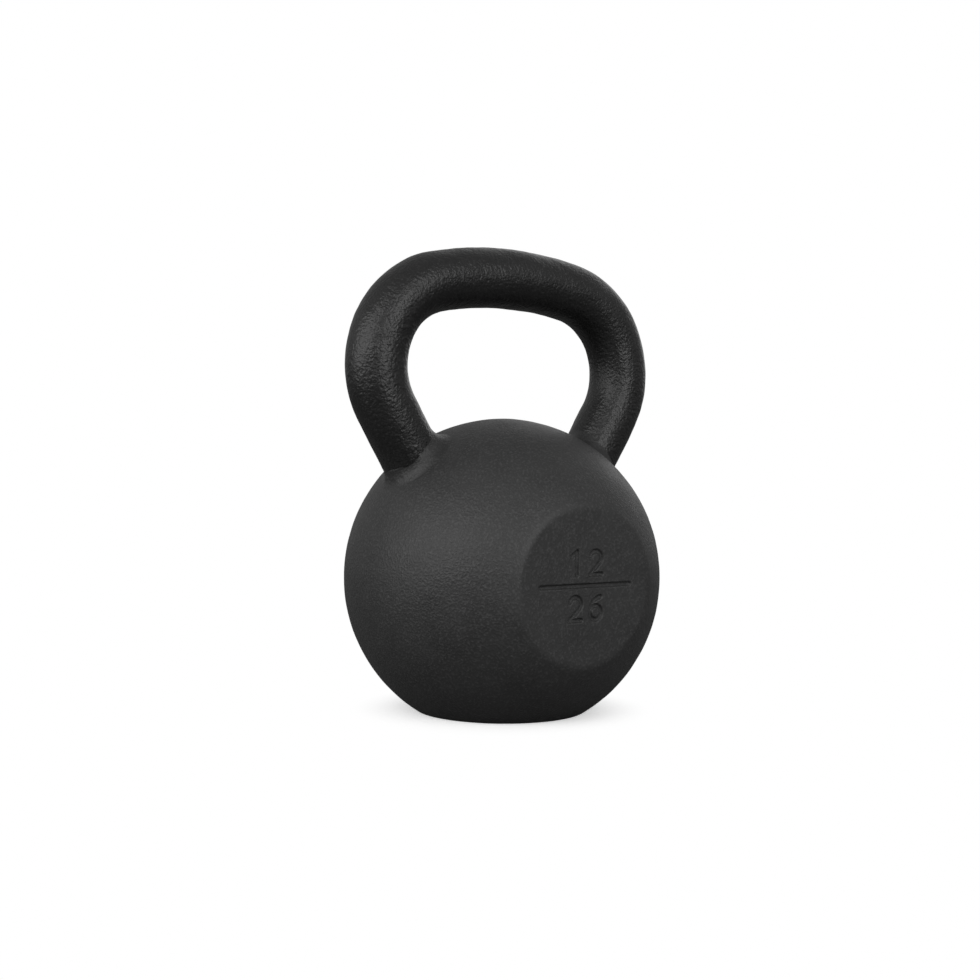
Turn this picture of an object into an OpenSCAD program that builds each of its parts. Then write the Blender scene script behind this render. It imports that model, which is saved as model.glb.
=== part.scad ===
// Kettlebell: a solid iron ball with a bent round bar as its handle.
// X runs along the grip, Y from front to back and Z up. The origin is the middle of the foot.

/* [Ball] */
// Diameter of the ball
ball_d = 144; // [110:1:220]
// Diameter of the flat foot that the ball stands on
foot_d = 77; // [50:1:95]
// Diameter of each of the two side flats
flat_d = 69; // [62:1:85]

/* [Handle] */
// Clear height of the grip's opening, from the ball's top to the middle of the grip's underside
window_h = 50.2; // [46:0.2:90]
// Overall width across the horns
handle_w = 160; // [150:1:200]
// Thickness of the round bar
bar_d = 27; // [22:0.5:33]
// Radius of the slight upward bow of the grip, at the bar's centreline
bow_r = 178; // [120:1:400]
// Radius of the bend at each corner, at the bar's centreline
corner_r = 38.5; // [30:0.5:45]
// Lean of each horn away from upright, towards the ball
horn_lean = 31; // [24:0.5:36]

/* [Root joint] */
// Depth that each horn is seated in the ball, along its axis
seat_depth = 14; // [8:1:22]
// Gap around the horn in its socket
seat_gap = 0.1; // [0.05:0.05:0.3]
// Radius of the hollow fillet weld round each horn
weld_r = 7; // [4:0.5:9]

/* [Mark] */
// Height of the numerals
digit_h = 11.5; // [8:0.5:14]
// Width of each numeral
digit_w = 7.6; // [5:0.2:10]
// Width of the cut strokes
stroke_w = 1.7; // [1.2:0.1:2.4]
// Depth of the mark below the side flat
mark_depth = 1; // [0.5:0.1:2]
// Length of the bar between the two numbers
rule_l = 48.5; // [30:0.5:54]
// Height of the bar's middle above the ball's middle
rule_rise = 0.6; // [-2:0.2:3]
// Clear space between the bar and each number
mark_gap = 3; // [1.5:0.5:4]
// Space between the two numerals of a number
digit_gap = 3; // [2:0.5:6]

/* [Hidden] */
$fn = 96;
// Fineness of the ball's outline where a thin piece lies on it.
fine_fn = 360;
// Fineness of the bent bar, which turns in both directions.
bar_fn = 80;

ball_r = ball_d / 2;
bar_r = bar_d / 2;
// The foot and the side flats are plain cuts of the ball.
ball_z = sqrt(pow(ball_r, 2) - pow(foot_d / 2, 2));
flat_y = sqrt(pow(ball_r, 2) - pow(flat_d / 2, 2));

// The handle's centreline is a bow, a corner and a straight horn on each side, each tangent to the next.
overall_h = ball_z + ball_r + window_h + bar_d;
grip_z = overall_h - bar_r;
corner_x = handle_w / 2 - bar_r - corner_r;
bow_angle = asin(corner_x / (bow_r - corner_r));
bow_z = grip_z - bow_r;
corner_z = bow_z + (bow_r - corner_r) * cos(bow_angle);
// Where the corner ends and the horn begins.
horn_x = corner_x + corner_r * cos(horn_lean);
horn_z = corner_z - corner_r * sin(horn_lean);
// The horn's axis meets the ball at the smaller root of a quadratic along the axis.
along = horn_x * sin(horn_lean) + (horn_z - ball_z) * cos(horn_lean);
offset_sq = pow(horn_x, 2) + pow(horn_z - ball_z, 2) - pow(along, 2);
horn_l = along - sqrt(pow(ball_r, 2) - offset_sq);
// The middle of the root, and the lean of the ball's own normal there.
root_x = horn_x - horn_l * sin(horn_lean);
root_z = horn_z - horn_l * cos(horn_lean);
root_lean = atan2(root_x, root_z - ball_z);

// How far a cutter runs past the surface it cuts.
cut_past = 1;
// Size of the core that ties two lengths of bar together, as a share of the bar.
core_share = 0.8;
// Width of the line that the round cutter follows.
hair = 0.1;
big = 3 * max(overall_h, handle_w, ball_d);

// Everything on the right half, as the left or the right copy.
module on_side(side) {
    mirror([side < 0 ? 1 : 0, 0, 0]) children();
}

// A ring of bar along an arc that turns clockwise from angle a0 to a1, both from the top, in the XZ plane.
module bend(x, z, radius, a0, a1, thickness) {
    translate([x, 0, z])
        rotate([90, 0, 0])
            rotate([0, 0, 90 - a1])
                rotate_extrude(angle = a1 - a0)
                    translate([radius, 0])
                        circle(r = thickness);
}

// The straight horn of the right side, from the corner to its seat in the ball.
module horn(thickness, depth) {
    translate([horn_x, 0, horn_z])
        rotate([0, 180 + horn_lean, 0])
            cylinder(r = thickness, h = horn_l + depth);
}

// A short core inside the bar, along the bar's own direction there.
module core(lean) {
    rotate([0, lean, 0])
        cylinder(r = bar_r * core_share, h = bar_r * core_share, center = true);
}

// Numerals: each is a line through points in a box line_w by line_h, which a round cutter then follows.
line_w = digit_w - stroke_w;
line_h = digit_h - stroke_w;
bowl_r = line_w / 2;
// Shares of the box: where the one's stem stands, where its flag starts, and where the six's stem ends.
stem_share = 0.6;
flag_share = [0.15, 0.78];
tip_share = 0.9;
// The six's stem is an arc that rises from the bowl's left side to the numeral's top.
stem_r = line_h - bowl_r;
stem_end = acos(tip_share * line_w / stem_r - 1);

// Points along an arc from angle a0 to a1.
function arc(centre, radius, a0, a1, steps = 12) =
    [for (i = [0:steps]) centre + radius * [cos(a0 + (a1 - a0) * i / steps), sin(a0 + (a1 - a0) * i / steps)]];

one = [
    [flag_share[0] * line_w, flag_share[1] * line_h],
    [stem_share * line_w, line_h],
    [stem_share * line_w, 0]
];
two = concat(arc([bowl_r, line_h - bowl_r], bowl_r, 160, -35), [[0, 0], [line_w, 0]]);
six = concat(arc([stem_r, bowl_r], stem_r, stem_end, 180), arc([bowl_r, bowl_r], bowl_r, 195, 540, 23));

// A hairline through points.
module hairline(points) {
    for (i = [0:len(points) - 2]) {
        run = points[i + 1] - points[i];
        translate(points[i])
            rotate(atan2(run[1], run[0]))
                translate([0, -hair / 2])
                    square([norm(run), hair]);
    }
}

// Two numerals side by side, centred on X and standing on Y = 0.
module number(first, second) {
    translate([-digit_w - digit_gap / 2 + stroke_w / 2, stroke_w / 2])
        hairline(first);
    translate([digit_gap / 2 + stroke_w / 2, stroke_w / 2])
        hairline(second);
}

// The mark on the front side flat: the weight in kilograms over the weight in pounds.
module mark() {
    translate([0, -flat_y + mark_depth, ball_z + rule_rise])
        rotate([90, 0, 0])
            linear_extrude(mark_depth + cut_past)
                offset(r = (stroke_w - hair) / 2, $fn = 20) {
                    hairline([[(stroke_w - rule_l) / 2, 0], [(rule_l - stroke_w) / 2, 0]]);
                    translate([0, stroke_w / 2 + mark_gap])
                        number(one, two);
                    translate([0, -stroke_w / 2 - mark_gap - digit_h])
                        number(two, six);
                }
}

// Solid iron ball, with its foot, side flats, horn sockets and mark. The sphere's poles face the side flats.
module ball() {
    color("#2b2c2e")
        difference() {
            translate([0, 0, ball_z])
                rotate([90, 0, 0])
                    sphere(r = ball_r);
            translate([-big / 2, -big / 2, -big])
                cube(big);
            for (side = [-1, 1])
                translate([-big / 2, side * flat_y - (side < 0 ? big : 0), -big / 2])
                    cube(big);
            for (side = [-1, 1])
                on_side(side)
                    horn(bar_r + seat_gap, seat_depth);
            mark();
        }
}

// Round bar, bent to the grip, the corners and the horns. A core inside each tangent point makes it one length.
module handle() {
    $fn = bar_fn;
    color("#1e1f21") {
        bend(0, bow_z, bow_r, -bow_angle, bow_angle, bar_r);
        for (side = [-1, 1])
            on_side(side) {
                bend(corner_x, corner_z, corner_r, bow_angle, 90 + horn_lean, bar_r);
                horn(bar_r, seat_depth);
                translate([horn_x, 0, horn_z])
                    core(horn_lean);
                translate([bow_r * sin(bow_angle), 0, bow_z + bow_r * cos(bow_angle)])
                    core(90 + bow_angle);
            }
    }
}

// Hollow fillet weld round the root of the right horn, turned about the ball's normal there.
module root_weld() {
    // The arc's centre clears the bar and the ball by the weld's radius.
    centre_r = bar_r + weld_r;
    centre_h = sqrt(pow(ball_r + weld_r, 2) - pow(centre_r, 2));
    toe = centre_r * ball_r / (ball_r + weld_r);
    color("#26272a")
        difference() {
            translate([0, 0, ball_z])
                rotate([0, root_lean, 0])
                    rotate_extrude()
                        difference() {
                            translate([0, centre_h - weld_r])
                                square([toe, weld_r]);
                            translate([centre_r, centre_h])
                                circle(r = weld_r);
                            circle(r = ball_r, $fn = fine_fn);
                        }
            horn(bar_r, seat_depth);
        }
}

module root_weld_left() {
    on_side(-1) root_weld();
}

module root_weld_right() {
    on_side(1) root_weld();
}

ball();
handle();
root_weld_left();
root_weld_right();
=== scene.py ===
"""Powder-coated iron kettlebell: the finished surfaces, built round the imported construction."""
import math

import bpy
import numpy as np
from mathutils import Matrix, Vector


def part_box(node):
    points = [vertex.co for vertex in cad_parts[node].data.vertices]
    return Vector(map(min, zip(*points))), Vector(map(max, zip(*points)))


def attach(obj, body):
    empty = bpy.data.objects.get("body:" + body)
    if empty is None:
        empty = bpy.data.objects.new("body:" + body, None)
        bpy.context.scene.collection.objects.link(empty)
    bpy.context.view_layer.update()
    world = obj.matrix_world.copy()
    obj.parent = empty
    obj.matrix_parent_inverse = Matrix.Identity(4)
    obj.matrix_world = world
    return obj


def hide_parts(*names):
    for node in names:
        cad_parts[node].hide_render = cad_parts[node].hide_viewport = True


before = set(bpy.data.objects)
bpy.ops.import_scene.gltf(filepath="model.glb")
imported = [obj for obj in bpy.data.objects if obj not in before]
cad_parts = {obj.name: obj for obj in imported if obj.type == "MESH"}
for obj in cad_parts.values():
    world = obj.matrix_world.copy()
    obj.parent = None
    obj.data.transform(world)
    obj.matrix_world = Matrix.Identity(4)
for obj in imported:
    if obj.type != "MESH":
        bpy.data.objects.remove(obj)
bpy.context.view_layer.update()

MM = 0.001

# Sizes that the construction gives.
ball_low, ball_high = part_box("ball")
bar_low, bar_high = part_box("handle")
BALL_R = ball_high.x
BALL_Z = ball_high.z - BALL_R
FLAT_Y = ball_high.y
BAR_R = bar_high.y
GRIP_Z = bar_high.z - BAR_R
HORN_OUT = bar_high.x - BAR_R

# The bends of the handle's centreline, as the bar is bent.
BOW_R = 178 * MM
CORNER_R = 38.5 * MM
HORN_LEAN = math.radians(31)
HORN_SINK = 8 * MM

# The softening of the ball's edges by the casting and its coat.
FLAT_EDGE = 7 * MM
FOOT_EDGE = 2.2 * MM

# How far the surfaces stray from true: the height, wavelength and seed of each layer of waves.
BALL_SWAY = [(0.05 * MM, 30 * MM, 3), (0.018 * MM, 9 * MM, 4)]
BAR_SWELL = [(0.07 * MM, 22 * MM, 11), (0.025 * MM, 6 * MM, 12)]
# The share of the ball's sway that its machined flats keep.
FLAT_SWAY = 0.35

# The mark cut in the front flat.
DIGIT_H = 11.5 * MM
DIGIT_W = 7.6 * MM
STROKE_W = 1.7 * MM
DIGIT_GAP = 3 * MM
MARK_GAP = 3 * MM
MARK_DEPTH = 1.0 * MM
MARK_SOFT = 0.4 * MM
RULE_L = 48.5 * MM
RULE_RISE = 0.6 * MM
# A circle round the flat's middle that holds the whole mark.
MARK_REACH = 25.5 * MM
# Shares of a numeral's box: where the one's stem stands, where its flag starts, where the six ends.
STEM_SHARE = 0.6
FLAG_SHARE = (0.15, 0.78)
TIP_SHARE = 0.9

# The fillet weld round each root, as full as its coat makes it. Its skin dips a little into bar and
# ball, and its lip and heel lie out of sight inside them.
WELD_R = 8.5 * MM
WELD_SINK = 0.12 * MM
WELD_LIP = 1.6 * MM
WELD_LIP_SINK = 0.3 * MM
WELD_HEEL = 3 * MM
WELD_LUMP = 0.035 * MM
WELD_LUMP_L = 4.5 * MM

BALL_CENTRE = np.array([0.0, 0.0, BALL_Z])


# ---------------------------------------------------------------- mesh helpers

def waves(points, length, seed, count=28):
    """A smooth random height of about unit size: the sum of plane waves whose length is near the
    given one, each cos(k . p + phase) with k in a seeded random direction."""
    random = np.random.default_rng(seed)
    k = random.normal(size=(count, 3))
    spread = random.uniform(0.6, 1.4, (count, 1))
    k *= (2 * np.pi / length) * spread / np.linalg.norm(k, axis=1, keepdims=True)
    phase = random.uniform(0, 2 * np.pi, count)
    return np.cos(points @ k.T + phase).sum(-1) * math.sqrt(2 / count)


def stray(points, layers):
    """The sum of several layers of waves, each times its own height."""
    return sum(height * waves(points, length, seed) for height, length, seed in layers)


def skin(name, grid, ring=False):
    """Makes a closed mesh from a grid of points (rows, columns, 3). Columns close on themselves. Rows
    close on themselves in a ring, and otherwise each end row is closed by a fan to its middle."""
    rows, cols = grid.shape[:2]
    index = np.arange(rows * cols).reshape(rows, cols)
    if ring:
        index = np.vstack([index, index[:1]])
    beside = np.roll(index, -1, axis=1)
    quads = np.stack([index[:-1], beside[:-1], beside[1:], index[1:]], -1).reshape(-1, 4)
    points = grid.reshape(-1, 3)
    fans = []
    if not ring:
        first, last = len(points), len(points) + 1
        points = np.vstack([points, grid[0].mean(0), grid[-1].mean(0)])
        fans.append(np.stack([beside[0], index[0], np.full(cols, first)], -1))
        fans.append(np.stack([index[-1], beside[-1], np.full(cols, last)], -1))
    corners = points[np.vstack([quads[:, :3], quads[:, [0, 2, 3]]] + fans)]
    volume = np.einsum("ij,ij->i", corners[:, 0], np.cross(corners[:, 1], corners[:, 2])).sum()
    faces = quads.tolist() + [f for fan in fans for f in fan.tolist()]
    if volume < 0:
        faces = [f[::-1] for f in faces]
    mesh = bpy.data.meshes.new(name)
    mesh.from_pydata(points.tolist(), [], faces)
    mesh.polygons.foreach_set("use_smooth", np.ones(len(faces), bool))
    mesh.update()
    piece = bpy.data.objects.new(name, mesh)
    bpy.context.scene.collection.objects.link(piece)
    return piece


def spaced(stops, spacings):
    """Values from the first stop to the last whose steps follow the spacings given at the stops: the
    number of steps so far is the running sum of 1 / spacing, and whole numbers of it are kept."""
    fine = np.linspace(stops[0], stops[-1], 20001)
    rate = 1 / np.interp(fine, stops, spacings)
    total = np.concatenate([[0], np.cumsum((rate[1:] + rate[:-1]) / 2 * np.diff(fine))])
    return np.interp(np.linspace(0, total[-1], math.ceil(total[-1]) + 1), total, fine)


# ---------------------------------------------------------------- the mark

LINE_W = DIGIT_W - STROKE_W
LINE_H = DIGIT_H - STROKE_W
BOWL_R = LINE_W / 2
STEM_R = LINE_H - BOWL_R
STEM_END = math.degrees(math.acos(TIP_SHARE * LINE_W / STEM_R - 1))


def arc(centre, radius, start, end, steps=14):
    """Points of a circle's arc from one angle to another, in degrees."""
    angle = np.radians(np.linspace(start, end, steps + 1))
    return np.array(centre) + radius * np.stack([np.cos(angle), np.sin(angle)], -1)


# Each numeral is a line through points. The six's stem ends where its bowl begins, so that point is
# kept once.
ONE = np.array([
    [FLAG_SHARE[0] * LINE_W, FLAG_SHARE[1] * LINE_H],
    [STEM_SHARE * LINE_W, LINE_H],
    [STEM_SHARE * LINE_W, 0],
])
TWO = np.vstack([arc((BOWL_R, LINE_H - BOWL_R), BOWL_R, 160, -35), [[0, 0], [LINE_W, 0]]])
SIX = np.vstack([
    arc((STEM_R, BOWL_R), STEM_R, STEM_END, 180)[:-1],
    arc((BOWL_R, BOWL_R), BOWL_R, 180, 540, 28),
])


def mark_lines():
    """The middle lines of the mark's strokes, in the flat's own X and Z about the ball's middle."""
    left = -DIGIT_W - DIGIT_GAP / 2 + STROKE_W / 2
    right = DIGIT_GAP / 2 + STROKE_W / 2
    upper = RULE_RISE + STROKE_W + MARK_GAP
    lower = RULE_RISE - MARK_GAP - DIGIT_H
    half = (RULE_L - STROKE_W) / 2
    return [
        np.array([[-half, RULE_RISE], [half, RULE_RISE]]),
        ONE + [left, upper],
        TWO + [right, upper],
        TWO + [left, lower],
        SIX + [right, lower],
    ]


def distance_to_lines(points, lines):
    """The least distance from each point to any segment: the point's foot on the segment is the start
    plus its share along it, held between 0 and 1."""
    nearest = np.full(len(points), np.inf)
    for line in lines:
        start, run = line[:-1], np.diff(line, axis=0)
        from_start = points[:, None] - start
        share = np.clip((from_start * run).sum(-1) / (run * run).sum(-1), 0, 1)
        away = np.linalg.norm(from_start - share[..., None] * run, axis=-1)
        nearest = np.minimum(nearest, away.min(1))
    return nearest


# ---------------------------------------------------------------- ball

def cut_radius(angle, plane, edge):
    """How far the surface lies from the ball's middle, at an angle from the axis of a flat: the plane
    over cos(angle), then a round of the edge's radius that touches plane and ball, then the ball."""
    axial = plane - edge
    radial = math.sqrt((BALL_R - edge) ** 2 - axial ** 2)
    toward = radial * np.sin(angle) + axial * np.cos(angle)
    rounded = toward + np.sqrt(np.maximum(edge ** 2 - radial ** 2 - axial ** 2 + toward ** 2, 0))
    # The cosine is held above 0, because the far half of the ball never meets the plane.
    flat = plane / np.maximum(np.cos(angle), 0.1)
    out = np.where(angle < math.atan2(radial, plane), flat, rounded)
    return np.where(angle > math.atan2(radial, axial), BALL_R, out)


def crowd(angle, edge_angle, width, pull):
    """Moves grid angles towards an edge, so that lines crowd there: u - pull u exp(-u^2) about it."""
    u = (angle - edge_angle) / width
    return edge_angle + width * (u - pull * u * np.exp(-u * u))


def make_ball():
    """Rings about the Y axis, from the middle of the front flat to that of the back one. Each grid
    point is a direction from the ball's middle times the least of the three flats' radii."""
    rim = math.atan2(math.sqrt(BALL_R ** 2 - FLAT_Y ** 2), FLAT_Y)
    mark_edge = math.atan2(MARK_REACH, FLAT_Y)
    # The angle of each stop, and the rings' spacing there in millimetres: close over the mark, at
    # the front rim and round the back one.
    pole = 0.004
    spacing = [
        (pole, 0.3), (mark_edge, 0.3), (mark_edge + 0.02, 0.8), (rim - 0.09, 0.7), (rim, 0.5),
        (rim + 0.06, 0.6), (rim + 0.12, 1.8), (1.6, 1.8), (2.5, 1.2), (np.pi - pole, 3.0),
    ]
    stops, steps_mm = np.array(spacing).T
    theta = spaced(stops, steps_mm * MM / BALL_R)[:, None]
    columns = 440
    phi = np.linspace(0, 2 * np.pi, columns, endpoint=False)[None, :]
    way = np.stack([
        np.sin(theta) * np.cos(phi), -np.cos(theta) + 0 * phi, np.sin(theta) * np.sin(phi)], -1)
    # Crowd the grid round the foot's edge.
    foot_edge = math.acos(BALL_Z / BALL_R)
    psi = np.arccos(np.clip(-way[..., 2], -1, 1))
    crowded = crowd(psi, foot_edge, width=math.radians(7), pull=0.75)
    aside = way[..., :2] / np.maximum(np.linalg.norm(way[..., :2], axis=-1, keepdims=True), 1e-9)
    way = np.concatenate([np.sin(crowded)[..., None] * aside, -np.cos(crowded)[..., None]], -1)
    from_flats = np.arccos(np.clip(np.abs(way[..., 1]), -1, 1))
    reach = np.minimum(
        cut_radius(from_flats, FLAT_Y, FLAT_EDGE), cut_radius(crowded, BALL_Z, FOOT_EDGE))
    fade = 0.1
    round_part = np.clip(np.minimum(from_flats - rim, crowded - foot_edge) / fade, 0, 1)
    points = way * reach[..., None]
    # A casting is never quite true: long, shallow waves, none on the foot.
    kept = (FLAT_SWAY + (1 - FLAT_SWAY) * round_part) * (crowded > foot_edge)
    points += way * (stray(points, BALL_SWAY) * kept)[..., None]
    # Cut the mark in what lies at the front flat: full depth inside a stroke, and an S-shaped wall.
    front = points[..., 1] < -FLAT_Y + 0.5 * MM
    away = distance_to_lines(points[front][:, [0, 2]], mark_lines())
    cut = np.clip((STROKE_W / 2 + MARK_SOFT - away) / (2 * MARK_SOFT), 0, 1)
    depth = np.zeros(points.shape[:2])
    depth[front] = MARK_DEPTH * cut * cut * (3 - 2 * cut)
    points[..., 1] += depth
    return skin("ball_shell", points + BALL_CENTRE)


# ---------------------------------------------------------------- handle and welds

CORNER_X = HORN_OUT - CORNER_R
BOW_ANGLE = math.asin(CORNER_X / (BOW_R - CORNER_R))
BOW_Z = GRIP_Z - BOW_R
CORNER_Z = BOW_Z + (BOW_R - CORNER_R) * math.cos(BOW_ANGLE)
CORNER_END = math.pi / 2 + HORN_LEAN
HORN_X = CORNER_X + CORNER_R * math.cos(HORN_LEAN)
HORN_Z = CORNER_Z - CORNER_R * math.sin(HORN_LEAN)
HORN_AXIS = np.array([-math.sin(HORN_LEAN), 0, -math.cos(HORN_LEAN)])
HORN_TOP = np.array([HORN_X, 0, HORN_Z])


def horn_length():
    """The way down the horn's axis to the ball: the smaller root of |top + t axis - middle| = radius."""
    to_top = HORN_TOP - BALL_CENTRE
    along = to_top @ HORN_AXIS
    return -along - math.sqrt(along ** 2 - to_top @ to_top + BALL_R ** 2)


def centreline(s):
    """Place and turning angle of the handle's centreline, a way s from the grip's middle: an arc of
    the bow, then an arc of the corner, then the straight horn. Negative s mirrors it."""
    side, s = np.sign(s), np.abs(s)
    bow_l = BOW_R * BOW_ANGLE
    corner_l = CORNER_R * (CORNER_END - BOW_ANGLE)
    a = np.minimum(s, bow_l) / BOW_R
    b = BOW_ANGLE + np.clip(s - bow_l, 0, corner_l) / CORNER_R
    down = np.maximum(s - bow_l - corner_l, 0)
    in_bow = s < bow_l
    x = np.where(in_bow, BOW_R * np.sin(a), CORNER_X + CORNER_R * np.sin(b)) + down * HORN_AXIS[0]
    z = np.where(in_bow, BOW_Z + BOW_R * np.cos(a), CORNER_Z + CORNER_R * np.cos(b)) + down * HORN_AXIS[2]
    turn = np.where(in_bow, a, b)
    return x * side, z, turn * side


def make_handle():
    """A circle of the bar's radius carried along the centreline, in its own normal and the Y axis."""
    reach = BOW_R * BOW_ANGLE + CORNER_R * (CORNER_END - BOW_ANGLE) + horn_length() + HORN_SINK
    rows, columns = 340, 132
    s = np.linspace(-reach, reach, rows)[:, None]
    x, z, turn = centreline(s)
    around = np.linspace(0, 2 * np.pi, columns, endpoint=False)[None, :]
    normal = np.stack([
        np.sin(turn) * np.cos(around), np.sin(around) + 0 * turn, np.cos(turn) * np.cos(around)], -1)
    middle = np.stack([x + 0 * around, 0 * x + 0 * around, z + 0 * around], -1)
    points = middle + BAR_R * normal
    return skin("handle_bar", points + normal * stray(points, BAR_SWELL)[..., None])


def make_weld(name, side):
    """The skin left by a small ball of the weld's radius rolled round the root, which touches the bar
    and the iron ball. Its middle is bar + weld radius from the horn's axis and ball + weld radius from
    the ball's middle. The skin is the arc between its two touching points, with both edges tucked
    under."""
    out = np.array([math.cos(HORN_LEAN), 0, -math.sin(HORN_LEAN)])
    columns, arc_rows = 240, 22
    alpha = np.linspace(0, 2 * np.pi, columns, endpoint=False)
    e = np.cos(alpha)[:, None] * out + np.sin(alpha)[:, None] * np.array([0, 1.0, 0])
    # A hand-dressed weld: its radius wanders round the root.
    r = (WELD_R + stray(e, [(0.5 * MM, 2.4, 21 + side), (0.15 * MM, 0.8, 31 + side)]))[:, None]
    d = HORN_TOP + (BAR_R + r) * e - BALL_CENTRE
    along = (d @ HORN_AXIS)[:, None]
    t = -along - np.sqrt(along ** 2 - (d * d).sum(-1, keepdims=True) + (BALL_R + r) ** 2)
    middle = d + t * HORN_AXIS
    to_bar = -e
    to_ball = -middle / np.linalg.norm(middle, axis=-1, keepdims=True)
    span = np.arccos(np.clip((to_bar * to_ball).sum(-1, keepdims=True), -1, 1))
    rows = []
    for u in np.linspace(0, 1, arc_rows):
        ray = (np.sin((1 - u) * span) * to_bar + np.sin(u * span) * to_ball) / np.sin(span)
        rows.append(middle + r * ray + WELD_SINK * ((1 - u) * to_bar + u * to_ball))
    on_bar, on_ball = rows[0], rows[-1]
    away = to_bar - (to_bar * to_ball).sum(-1, keepdims=True) * to_ball
    away = -away / np.linalg.norm(away, axis=-1, keepdims=True)
    rows.insert(0, on_bar - WELD_LIP * HORN_AXIS + WELD_LIP_SINK * to_bar)
    rows.append(on_ball + WELD_LIP * away + WELD_LIP_SINK * to_ball)
    inward = to_bar + to_ball
    rows.insert(0, middle + (r + WELD_HEEL) * inward / np.linalg.norm(inward, axis=-1, keepdims=True))
    points = np.stack(rows) + BALL_CENTRE
    # Small lumps on the dressed face, none at its tucked edges.
    face = np.zeros(len(rows))
    face[3:-2] = np.sin(np.linspace(0, np.pi, len(rows) - 5))
    lumps = WELD_LUMP * waves(points, WELD_LUMP_L, 41 + side) * face[:, None]
    points -= inward[None] * lumps[..., None]
    points[..., 0] *= side
    return skin(name, points, ring=True)


# ---------------------------------------------------------------- materials

def linear(hex_colour):
    """An sRGB hex colour as linear red, green, blue and full alpha."""
    parts = [int(hex_colour[i:i + 2], 16) / 255 for i in (1, 3, 5)]
    return [c / 12.92 if c <= 0.04045 else ((c + 0.055) / 1.055) ** 2.4 for c in parts] + [1.0]


def add(tree, kind, settings=(), inputs=()):
    """Adds a shader node with its settings and inputs. An input that is a socket is linked."""
    node = tree.nodes.new(kind)
    for key, value in dict(settings).items():
        setattr(node, key, value)
    for key, value in dict(inputs).items():
        if isinstance(value, bpy.types.NodeSocket):
            tree.links.new(value, node.inputs[key])
        else:
            node.inputs[key].default_value = value
    return node


# The colour sockets of a Mix node: first and second input, and result.
MIX_A, MIX_B, MIX_RESULT = 6, 7, 2


def blank(name):
    """A new material with an empty tree and its output."""
    material = bpy.data.materials.new(name)
    material.use_nodes = True
    material.node_tree.nodes.clear()
    return material, material.node_tree, add(material.node_tree, "ShaderNodeOutputMaterial")


# Grain and pebble lie this much shallower over the ball's machined side flats.
FLAT_RELIEF = 0.5
# Lengths in the coats: slow drift of tone and sheen, and how far either side of its mean the sheen goes.
DRIFT_L = 14 * MM
SHEEN_DRIFT = 0.05
# The middle part of a noise, where nearly all of its values lie.
NOISE_LOW, NOISE_HIGH = 0.3, 0.7


def powder_coat(name, dark, light, painted_glint, rough, grain_mm, grain_lift, pebble_mm, pebble_lift):
    """Polyester powder coat, sprayed dry and baked on iron. It is a plastic film with IOR 1.5 that
    levels out into fine grain and a shallow orange peel, so its sheen is broad and speckled. The
    real grain is about 0.3 mm wide, and is drawn about 1 mm wide so that it shows."""
    material, tree, out = blank(name)
    place = add(tree, "ShaderNodeTexCoord").outputs["Object"]
    grain = add(tree, "ShaderNodeTexNoise", inputs={
        "Vector": place, "Scale": 1 / (grain_mm * MM), "Detail": 1.0, "Roughness": 0.5})
    pebble = add(tree, "ShaderNodeTexNoise", inputs={
        "Vector": place, "Scale": 1 / (pebble_mm * MM), "Detail": 1.0, "Roughness": 0.4})
    patch = add(tree, "ShaderNodeTexNoise", inputs={
        "Vector": place, "Scale": 1 / DRIFT_L, "Detail": 5.0, "Roughness": 0.6})
    # Colour drifts slowly over the piece. The peaks of the grain are painted paler, a painted highlight
    # that stands in for the grain's sparkle.
    drift = add(tree, "ShaderNodeMapRange", inputs={
        "Value": patch.outputs["Fac"], "From Min": NOISE_LOW, "From Max": NOISE_HIGH})
    tone = add(tree, "ShaderNodeMix", {"data_type": "RGBA"}, {
        "Factor": drift.outputs["Result"], MIX_A: linear(dark), MIX_B: linear(light)})
    # Painted highlight: where the grain stands highest, its colour is mixed towards the paler glint
    # colour.
    glint_share = add(tree, "ShaderNodeMapRange", inputs={
        "Value": grain.outputs["Fac"], "From Min": 0.5, "From Max": 0.75, "To Max": 0.6})
    tone_and_glint = add(tree, "ShaderNodeMix", {"data_type": "RGBA"}, {
        "Factor": glint_share.outputs["Result"], MIX_A: tone.outputs[MIX_RESULT], MIX_B: linear(painted_glint)})
    sheen = add(tree, "ShaderNodeMapRange", inputs={
        "Value": patch.outputs["Fac"], "From Min": NOISE_LOW, "From Max": NOISE_HIGH,
        "To Min": rough - SHEEN_DRIFT, "To Max": rough + SHEEN_DRIFT})
    depth = add(tree, "ShaderNodeSeparateXYZ", inputs={"Vector": place}).outputs["Y"]
    from_middle = add(tree, "ShaderNodeMath", {"operation": "ABSOLUTE"}, {0: depth}).outputs[0]
    relief = add(tree, "ShaderNodeMapRange", inputs={
        "Value": from_middle, "From Min": FLAT_Y - 3 * MM, "From Max": FLAT_Y - 0.5 * MM,
        "To Min": 1.0, "To Max": FLAT_RELIEF}).outputs["Result"]
    coarse = add(tree, "ShaderNodeBump", inputs={
        "Height": pebble.outputs["Fac"], "Distance": pebble_lift * MM, "Strength": relief})
    fine = add(tree, "ShaderNodeBump", inputs={
        "Height": grain.outputs["Fac"], "Distance": grain_lift * MM, "Strength": relief,
        "Normal": coarse.outputs["Normal"]})
    shader = add(tree, "ShaderNodeBsdfPrincipled", inputs={
        "Base Color": tone_and_glint.outputs[MIX_RESULT], "Roughness": sheen.outputs["Result"], "IOR": 1.5,
        "Normal": fine.outputs["Normal"]})
    tree.links.new(shader.outputs["BSDF"], out.inputs["Surface"])
    return material


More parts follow.
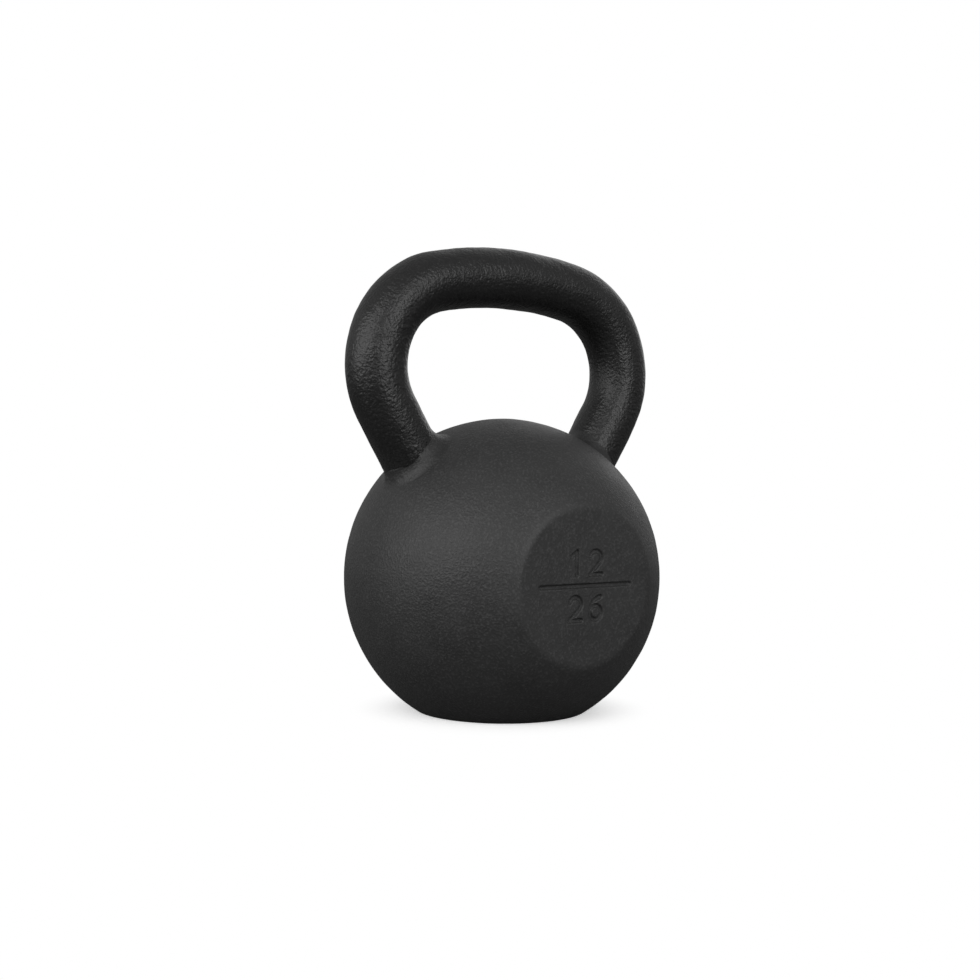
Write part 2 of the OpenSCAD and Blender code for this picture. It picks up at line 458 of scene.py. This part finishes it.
def white_floor():
    """Pale studio floor. The camera sees matt white lifted to full white, with the object's shadow
    kept near the foot and plain white beyond. Everything else sees a mid grey, so it throws little
    light up at the object."""
    material, tree, out = blank("studio_floor_paint")
    white = linear("#ffffff")
    paint = add(tree, "ShaderNodeBsdfDiffuse", inputs={"Color": white})
    lift = add(tree, "ShaderNodeEmission", inputs={"Color": white, "Strength": FLOOR_LIFT})
    beyond = add(tree, "ShaderNodeEmission", inputs={"Color": white, "Strength": 1.0})
    bounce = add(tree, "ShaderNodeBsdfDiffuse", inputs={"Color": linear(FLOOR_BOUNCE)})
    place = add(tree, "ShaderNodeTexCoord").outputs["Object"]
    away = add(tree, "ShaderNodeVectorMath", {"operation": "LENGTH"}, {0: place})
    far = add(tree, "ShaderNodeMapRange", {"interpolation_type": "SMOOTHSTEP"}, {
        "Value": away.outputs["Value"], "From Min": FLOOR_NEAR[0], "From Max": FLOOR_NEAR[1]})
    near = add(tree, "ShaderNodeAddShader", inputs={0: paint.outputs[0], 1: lift.outputs[0]})
    shown = add(tree, "ShaderNodeMixShader", inputs={
        0: far.outputs["Result"], 1: near.outputs[0], 2: beyond.outputs[0]})
    seen = add(tree, "ShaderNodeLightPath").outputs["Is Camera Ray"]
    pick = add(tree, "ShaderNodeMixShader", inputs={0: seen, 1: bounce.outputs[0], 2: shown.outputs[0]})
    tree.links.new(pick.outputs[0], out.inputs["Surface"])
    return material


def white_world(fill):
    """White to the camera and to mirrors, and a plain grey fill to everything else."""
    world = bpy.data.worlds.new("studio")
    world.use_nodes = True
    tree = world.node_tree
    tree.nodes.clear()
    white = linear("#ffffff")
    path = add(tree, "ShaderNodeLightPath").outputs
    mirrored = add(tree, "ShaderNodeMath", {"operation": "MAXIMUM"}, {
        0: path["Is Glossy Ray"], 1: path["Is Transmission Ray"]})
    plain = add(tree, "ShaderNodeBackground", inputs={"Color": white, "Strength": fill})
    mirror = add(tree, "ShaderNodeBackground", inputs={"Color": white, "Strength": MIRROR_WHITE})
    seen = add(tree, "ShaderNodeBackground", inputs={"Color": white, "Strength": 1.0})
    lit = add(tree, "ShaderNodeMixShader", inputs={
        0: mirrored.outputs[0], 1: plain.outputs[0], 2: mirror.outputs[0]})
    shown = add(tree, "ShaderNodeMixShader", inputs={
        0: path["Is Camera Ray"], 1: lit.outputs[0], 2: seen.outputs[0]})
    out = add(tree, "ShaderNodeOutputWorld")
    tree.links.new(shown.outputs[0], out.inputs["Surface"])
    bpy.context.scene.world = world


# ---------------------------------------------------------------- stage, lights and camera

# The floor's own white for the camera, the grey that it throws back, and the radii between which its
# shadows fade out. Then the strength of the white world in mirrors and as a fill.
FLOOR_LIFT = 0.46
FLOOR_BOUNCE = "#7e7e7e"
FLOOR_NEAR = (38 * MM, 70 * MM)
MIRROR_WHITE = 0.37
WORLD_FILL = 0.28
FLOOR_R = 6.0

# Softboxes: name, azimuth and elevation in degrees, distance and size in metres, and watts.
SOFTBOXES = [
    ("left_softbox", -95, 17, 1.3, 0.7, 4.3),
    ("key_softbox", -60, 29, 1.3, 0.7, 4.3),
    ("right_softbox", 5, 28, 1.3, 0.7, 3.0),
    ("front_softbox", 0, 12, 1.3, 0.6, 2.4),
    ("back_softbox", 125, 25, 1.5, 1.0, 2.6),
]

# The camera: its place in ball radii from the ball's middle, its heading, tilt and roll in degrees,
# and its lens and sensor in millimetres.
CAMERA_PLACE = (-5.0962, -7.4734, 0.7563)
CAMERA_TURN = (-33.785, -1.323, 0.584)
CAMERA_LENS, CAMERA_SENSOR = 52.26, 36


def direction(azimuth, elevation):
    """A unit way out from the object: azimuth 0 is on the -Y side, and elevation is above level."""
    a, e = math.radians(azimuth), math.radians(elevation)
    return Vector((math.sin(a) * math.cos(e), -math.cos(a) * math.cos(e), math.sin(e)))


def softbox(name, azimuth, elevation, distance, size, power):
    """A square studio softbox that faces the ball."""
    lamp = bpy.data.lights.new(name, "AREA")
    lamp.size = size
    lamp.energy = power
    holder = bpy.data.objects.new(name, lamp)
    way = direction(azimuth, elevation)
    holder.location = Vector(BALL_CENTRE) + way * distance
    holder.rotation_euler = way.to_track_quat("Z", "Y").to_euler()
    bpy.context.scene.collection.objects.link(holder)
    return holder


def make_camera():
    """Sees the ball from its front left at nearly its own height."""
    data = bpy.data.cameras.new("camera")
    data.sensor_width = CAMERA_SENSOR
    data.lens = CAMERA_LENS
    camera = bpy.data.objects.new("camera", data)
    place = Vector(BALL_CENTRE) + Vector(CAMERA_PLACE) * BALL_R
    heading, tilt, roll = (math.radians(angle) for angle in CAMERA_TURN)
    turn = (Matrix.Rotation(heading, 4, "Z") @ Matrix.Rotation(math.pi / 2 + tilt, 4, "X")
            @ Matrix.Rotation(roll, 4, "Z"))
    camera.matrix_world = Matrix.Translation(place) @ turn
    data.clip_start, data.clip_end = 0.01, 50
    bpy.context.scene.collection.objects.link(camera)
    bpy.context.scene.camera = camera


def make_floor():
    """A wide round floor at the foot's height."""
    angle = np.linspace(0, 2 * np.pi, 96, endpoint=False)
    points = np.stack([FLOOR_R * np.cos(angle), FLOOR_R * np.sin(angle), 0 * angle], -1)
    mesh = bpy.data.meshes.new("floor")
    mesh.from_pydata(points.tolist(), [], [list(range(len(angle)))])
    floor = bpy.data.objects.new("floor", mesh)
    floor.data.materials.append(white_floor())
    bpy.context.scene.collection.objects.link(floor)


make_camera()
make_floor()
white_world(WORLD_FILL)
for softbox_settings in SOFTBOXES:
    softbox(*softbox_settings)

# In each coat, the third colour is a painted highlight on the grain's peaks.
BALL_COAT = powder_coat(
    "powder_coat_matte_black", dark="#272727", light="#2e2e2e", painted_glint="#484848", rough=0.54,
    grain_mm=0.95, grain_lift=0.27, pebble_mm=2.0, pebble_lift=0.12)
BAR_COAT = powder_coat(
    "powder_coat_pebbled_black", dark="#0c0c0c", light="#131313", painted_glint="#242424", rough=0.38,
    grain_mm=0.95, grain_lift=0.24, pebble_mm=1.5, pebble_lift=0.31)
WELD_COAT = powder_coat(
    "powder_coat_over_weld", dark="#212121", light="#292929", painted_glint="#3c3c3c", rough=0.52,
    grain_mm=0.95, grain_lift=0.22, pebble_mm=1.7, pebble_lift=0.15)

pieces = [
    (make_ball(), BALL_COAT, "ball", "ball_coat"),
    (make_handle(), BAR_COAT, "handle", "handle_coat"),
    (make_weld("weld_left", -1), WELD_COAT, "root_weld_left", "weld_coat"),
    (make_weld("weld_right", 1), WELD_COAT, "root_weld_right", "weld_coat"),
]
for piece, coat, node, slot in pieces:
    piece.data.materials.append(coat)
    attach(piece, "root")
    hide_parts(node)

bpy.context.scene.view_settings.view_transform = "Standard"
